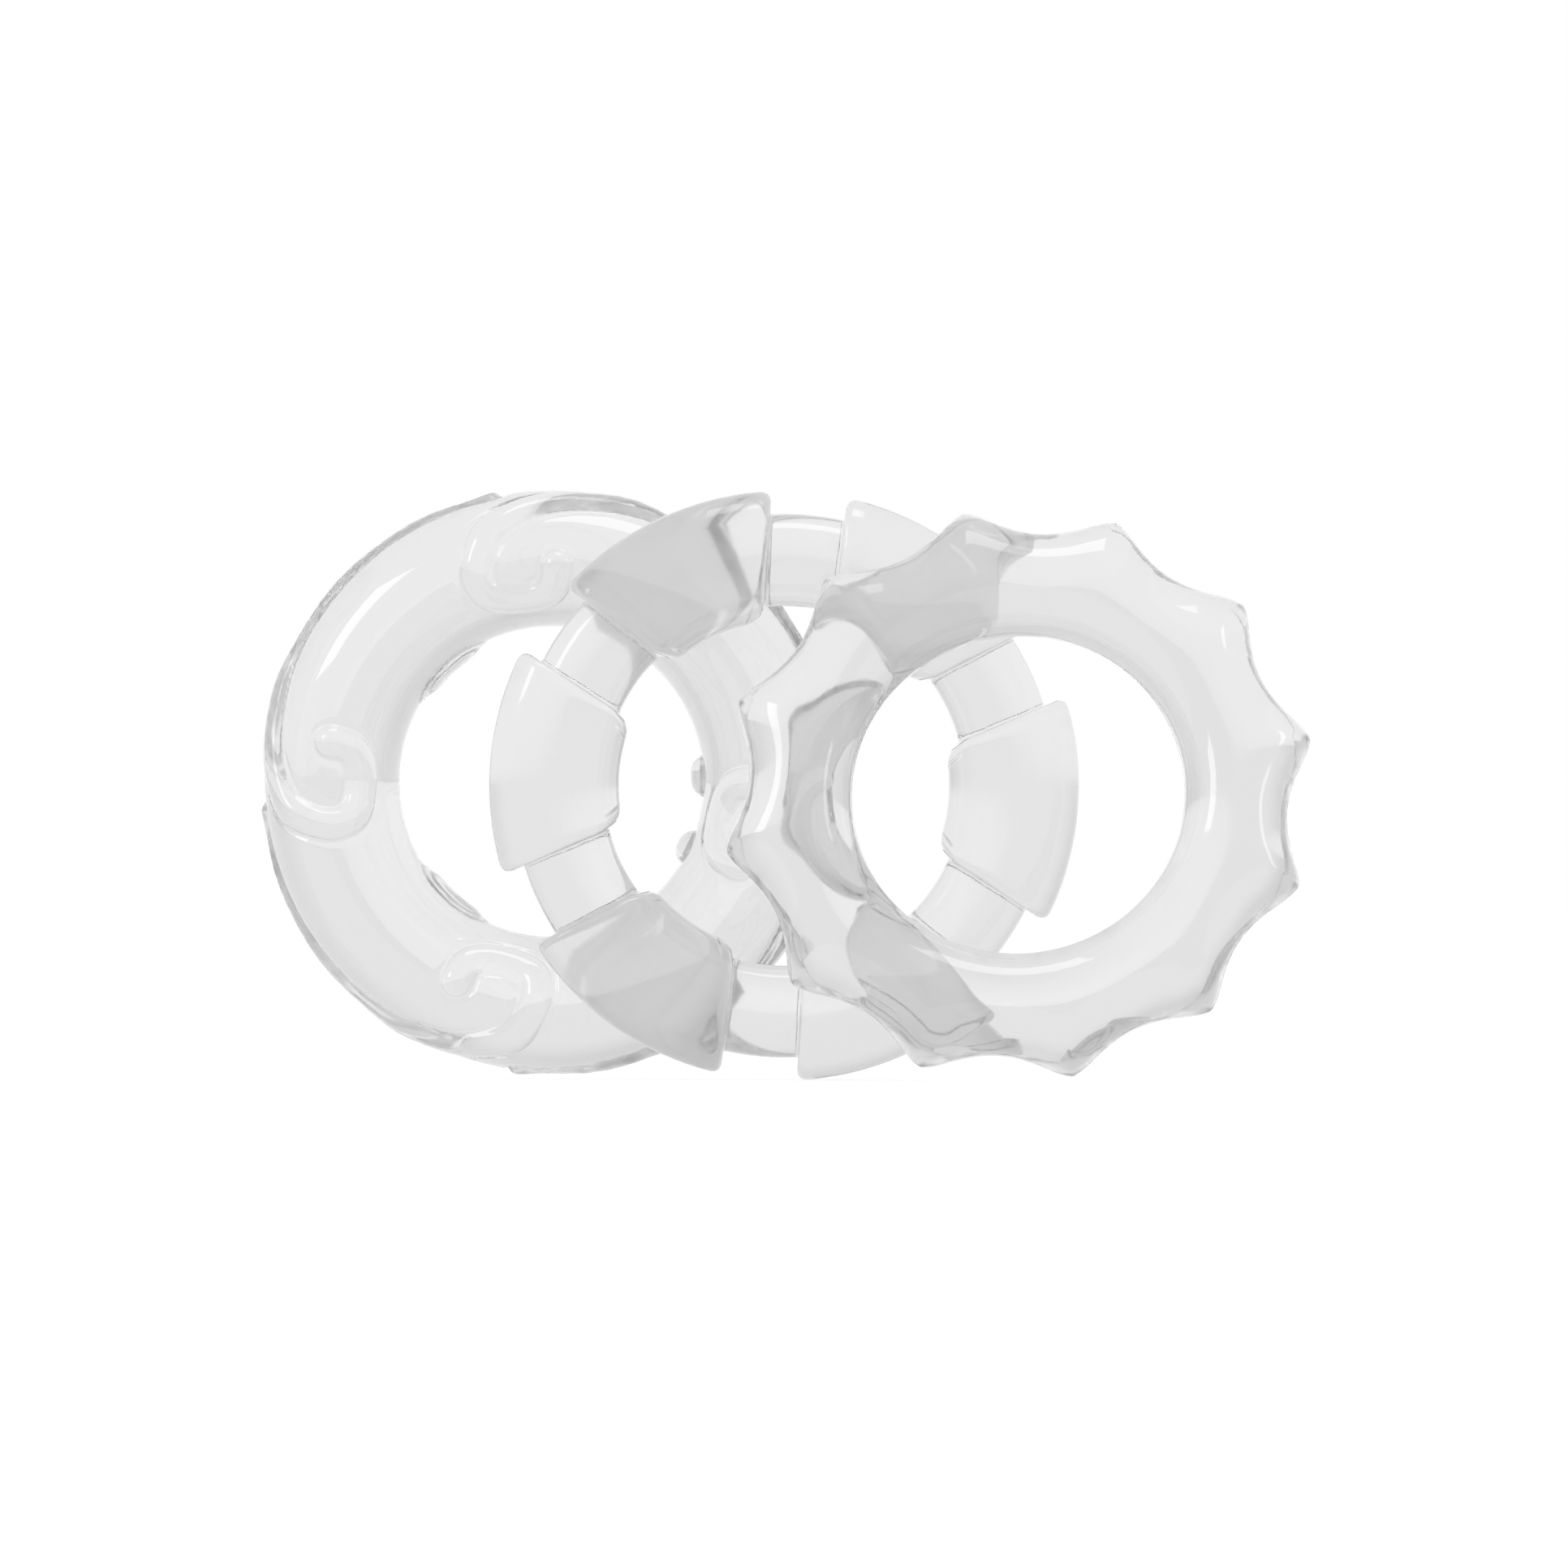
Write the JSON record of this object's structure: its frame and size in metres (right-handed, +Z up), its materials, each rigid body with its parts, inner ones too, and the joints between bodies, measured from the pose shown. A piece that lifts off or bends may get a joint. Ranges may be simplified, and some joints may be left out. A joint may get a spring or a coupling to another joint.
{
  "type": "stretch ring set",
  "caption": "Set of clear soft stretch rings standing overlapped: wave-beaded, segmented and star-ridged.",
  "frame": {"origin": "on the surface the rings stand on, under the middle of the set's box", "axes": "+X along the row, from the wave ring to the star ring; +Y from the star ring back to the wave ring; +Z up"},
  "size_m": [0.0748, 0.0416, 0.0421],
  "materials": {
    "wave_ring_gel": "clear gloss",
    "segment_ring_gel": "clear gloss",
    "star_ring_gel": "clear gloss"
  },
  "bodies": {
    "wave_ring": {"wave_ring": "wave_ring_gel"},
    "segment_ring": {"segment_ring": "segment_ring_gel"},
    "star_ring": {"star_ring": "star_ring_gel"}
  },
  "joints": [
    {"name": "segment_ring_lift", "type": "slide", "parent": "wave_ring", "child": "segment_ring", "axis": [0, 0, 1], "range_m": [0, 0.05]},
    {"name": "star_ring_lift", "type": "slide", "parent": "segment_ring", "child": "star_ring", "axis": [0, 0, 1], "range_m": [0, 0.05]}
  ]
}
